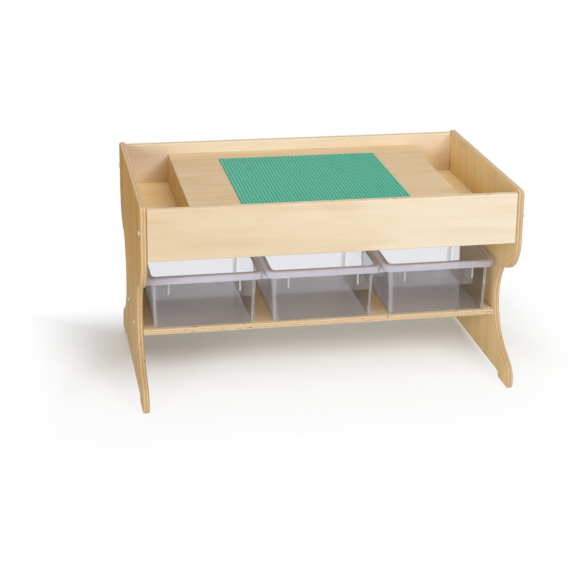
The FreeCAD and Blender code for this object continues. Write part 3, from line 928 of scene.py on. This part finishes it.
class TABLE_OT_tubs(bpy.types.Operator):
    """Make the three clear tubs with their ribs"""
    bl_idname = "play_table.tubs"
    bl_label = "Clear tubs"

    def execute(self, context):
        tubs = context.scene.play_table.tubs
        plastic = clear_plastic(tubs)
        build = wall_ribs()
        rib = new_object("rib_helper", rib_mesh(tubs, *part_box("middle_tub_shell")))
        for node_name, body in TUBS.items():
            low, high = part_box(node_name)
            values = {"Rib": rib, "Spacing": tubs.rib_spacing, "Middle": (low.x + high.x) / 2,
                      "Plastic": plastic}
            piece = build.run("clear_" + body, tub_mesh(node_name + "_mesh", tubs, low, high), values)
            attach(piece, body)
            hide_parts(node_name)
        drop(rib)
        return {"FINISHED"}


class TABLE_OT_bolts(bpy.types.Operator):
    """Make the apron bolts and the shelf screws, whose heads show on the side panels"""
    bl_idname = "play_table.bolts"
    bl_label = "Bolts and shelf screws"

    def execute(self, context):
        sizes = context.scene.play_table.fasteners
        steel = metal("plated_steel", sizes.steel, 0.24, 0.4)
        build = head_field()
        for name, nodes, head, shank, bevel, recess, depth in (
                ("apron_bolts", ("left_apron_bolts", "right_apron_bolts"),
                 sizes.bolt_head, sizes.bolt_shank, sizes.bolt_bevel,
                 hexagon(sizes.socket_width), sizes.socket_depth),
                ("shelf_screws", ("left_shelf_screws", "right_shelf_screws"),
                 sizes.screw_head, sizes.screw_shank, sizes.screw_bevel,
                 cross(sizes.cross_reach, sizes.cross_arm), sizes.cross_depth)):
            low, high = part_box(nodes[0])
            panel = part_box("left_side_panel")[0].x
            helper = new_object(name + "_helper", fastener_mesh(name, head, shank, bevel, panel - low.x,
                                                                high.x - panel, recess, depth))
            piece = build.run(name, fastener_points(nodes), {"Fastener": helper, "Steel": steel})
            drop(helper)
            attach(piece, "table")
            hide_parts(*nodes)
        return {"FINISHED"}


class TABLE_OT_hidden_fasteners(bpy.types.Operator):
    """Finish the dowels, the threaded inserts and the hidden screws"""
    bl_idname = "play_table.hidden_fasteners"
    bl_label = "Hidden fasteners"

    def execute(self, context):
        settings = context.scene.play_table
        steel = metal("plain_steel", settings.fasteners.steel, 0.3, 0.45)
        brass = metal("brass_insert", settings.fasteners.brass, 0.25, 0.4)
        for names, material in ((DOWELS, beech(settings.wood)), (SCREWS, steel), (INSERTS, brass)):
            for node_name in names:
                dress(node_name, material)
        return {"FINISHED"}


def seen_rays(tree):
    """1 for rays that show the surface to the camera, straight, mirrored or through clear plastic."""
    rays = tree.node("ShaderNodeLightPath").outputs
    seen = tree.maths("MAXIMUM", rays["Is Camera Ray"], rays["Is Glossy Ray"])
    return tree.maths("MAXIMUM", seen, rays["Is Transmission Ray"])


def white_floor(stage):
    """Pale floor that keeps the shadow near the table and fades to plain white further out."""
    finish = Finish("pale_floor")
    seen = seen_rays(finish)
    parts = finish.node("ShaderNodeSeparateXYZ", {0: finish.place})

    # Share of white by the metres past the table's ends, front and back, and in the open under its front
    past_ends = finish.ramp(finish.maths("ABSOLUTE", parts.outputs[X]), cad_high.x, cad_high.x + 0.28)
    open_front = finish.ramp(parts.outputs[Y], cad_low.y + 0.42, cad_low.y + 0.06, 0.0, 0.8)
    past_front = finish.ramp(parts.outputs[Y], cad_low.y - 0.02, cad_low.y - 0.2)
    past_back = finish.ramp(parts.outputs[Y], cad_high.y - 0.1, cad_high.y + 0.14)
    away = past_ends
    for fade in (open_front, past_front, past_back):
        away = finish.maths("MAXIMUM", away, fade)

    matt = finish.node("ShaderNodeBsdfDiffuse", {"Color": opaque(stage.floor)}).outputs[0]
    lift = finish.node("ShaderNodeEmission", {"Strength": finish.maths("MULTIPLY", seen, stage.floor_lift)})
    near = finish.node("ShaderNodeAddShader", {0: matt, 1: lift.outputs[0]}).outputs[0]
    white = finish.node("ShaderNodeEmission", {"Strength": 1.0}).outputs[0]
    far = finish.node("ShaderNodeMixShader", {0: seen, 1: matt, 2: white}).outputs[0]
    return finish.end(finish.node("ShaderNodeMixShader", {0: away, 1: near, 2: far}))


def add_lamp(name, power, place, target, width, depth):
    """Soft area lamp that points at a target."""
    lamp = bpy.data.lights.new(name, "AREA")
    lamp.shape = "RECTANGLE"
    lamp.energy = power
    lamp.size = width
    lamp.size_y = depth
    holder = new_object(name, lamp)
    holder.location = place
    holder.rotation_euler = (target - Vector(place)).to_track_quat("-Z", "Y").to_euler()


def add_camera(stage):
    """Camera at the photograph's viewing angle."""
    camera = bpy.data.cameras.new("camera")
    camera.sensor_width = 36.0
    camera.lens = stage.focus
    camera.shift_x = stage.shift_x
    camera.shift_y = stage.shift_y
    yaw = Matrix.Rotation(-stage.yaw, 4, "Z")
    pitch = Matrix.Rotation(math.pi / 2 - stage.pitch, 4, "X")
    roll = Matrix.Rotation(stage.roll, 4, "Z")
    holder = new_object("camera", camera)
    holder.matrix_world = Matrix.Translation(stage.camera_place) @ yaw @ pitch @ roll
    bpy.context.scene.camera = holder


class TABLE_OT_stage(bpy.types.Operator):
    """Set up the floor, the lamps, the surrounding light and the camera"""
    bl_idname = "play_table.stage"
    bl_label = "Stage"

    def execute(self, context):
        stage = context.scene.play_table.stage
        reach = 30.0
        gap = 0.2 * MM
        corners = [(-reach, -reach, 0.0), (reach, -reach, 0.0), (reach, reach, 0.0), (-reach, reach, 0.0)]
        mesh = bpy.data.meshes.new("floor")
        mesh.from_pydata(corners, [], [(0, 1, 2, 3)])
        floor = new_object("floor", mesh)
        floor.location.z = cad_low.z - gap
        mesh.materials.append(white_floor(stage))
        middle = (cad_low + cad_high) / 2
        add_lamp("key_lamp", stage.key, place=(2.4, -4.2, 3.4), target=middle, width=2.6, depth=1.8)
        add_lamp("fill_lamp", stage.fill, place=(-3.2, -3.4, 1.4), target=middle, width=2.0, depth=1.6)
        add_lamp("top_lamp", stage.top, place=(0.2, -0.1, 3.2), target=middle, width=2.6, depth=2.0)

        world = bpy.data.worlds.new("studio")
        context.scene.world = world
        world.use_nodes = True
        sky = Tree(world.node_tree)
        strength = sky.ramp(seen_rays(sky), 0.0, 1.0, stage.ambient, 1.0)
        background = sky.node("ShaderNodeBackground", {"Color": (1.0, 1.0, 1.0, 1.0), "Strength": strength})
        sky.node("ShaderNodeOutputWorld", {"Surface": background.outputs[0]})

        context.scene.view_settings.view_transform = "Standard"
        add_camera(stage)
        return {"FINISHED"}


OPERATORS = (
    TABLE_OT_side_panels,
    TABLE_OT_aprons,
    TABLE_OT_tray,
    TABLE_OT_shelf,
    TABLE_OT_strips,
    TABLE_OT_plate,
    TABLE_OT_tubs,
    TABLE_OT_bolts,
    TABLE_OT_hidden_fasteners,
    TABLE_OT_stage,
)


class TABLE_PT_panel(bpy.types.Panel):
    """Steps that dress the play table, and their settings"""
    bl_idname = "TABLE_PT_panel"
    bl_label = "Play table"
    bl_space_type = "VIEW_3D"
    bl_region_type = "UI"
    bl_category = "Play table"

    def draw(self, context):
        settings = context.scene.play_table
        for operator in OPERATORS:
            self.layout.operator(operator.bl_idname)
        for group in (settings.wood, settings.plate, settings.tubs, settings.fasteners, settings.stage):
            box = self.layout.box()
            for name in type(group).__annotations__:
                box.prop(group, name)


CLASSES = (WoodSettings, PlateSettings, TubSettings, FastenerSettings, StageSettings, TableSettings,
           *OPERATORS, TABLE_PT_panel)


def register():
    """Register the settings, the steps and the panel."""
    for entry in CLASSES:
        bpy.utils.register_class(entry)
    bpy.types.Scene.play_table = PointerProperty(type=TableSettings)


def unregister():
    """Undo register."""
    del bpy.types.Scene.play_table
    for entry in reversed(CLASSES):
        bpy.utils.unregister_class(entry)


def main():
    """Dress the table step by step."""
    register()
    bpy.ops.play_table.side_panels()
    bpy.ops.play_table.aprons()
    bpy.ops.play_table.tray()
    bpy.ops.play_table.shelf()
    bpy.ops.play_table.strips()
    bpy.ops.play_table.plate()
    bpy.ops.play_table.tubs()
    bpy.ops.play_table.bolts()
    bpy.ops.play_table.hidden_fasteners()
    bpy.ops.play_table.stage()


if __name__ == "__main__":
    main()
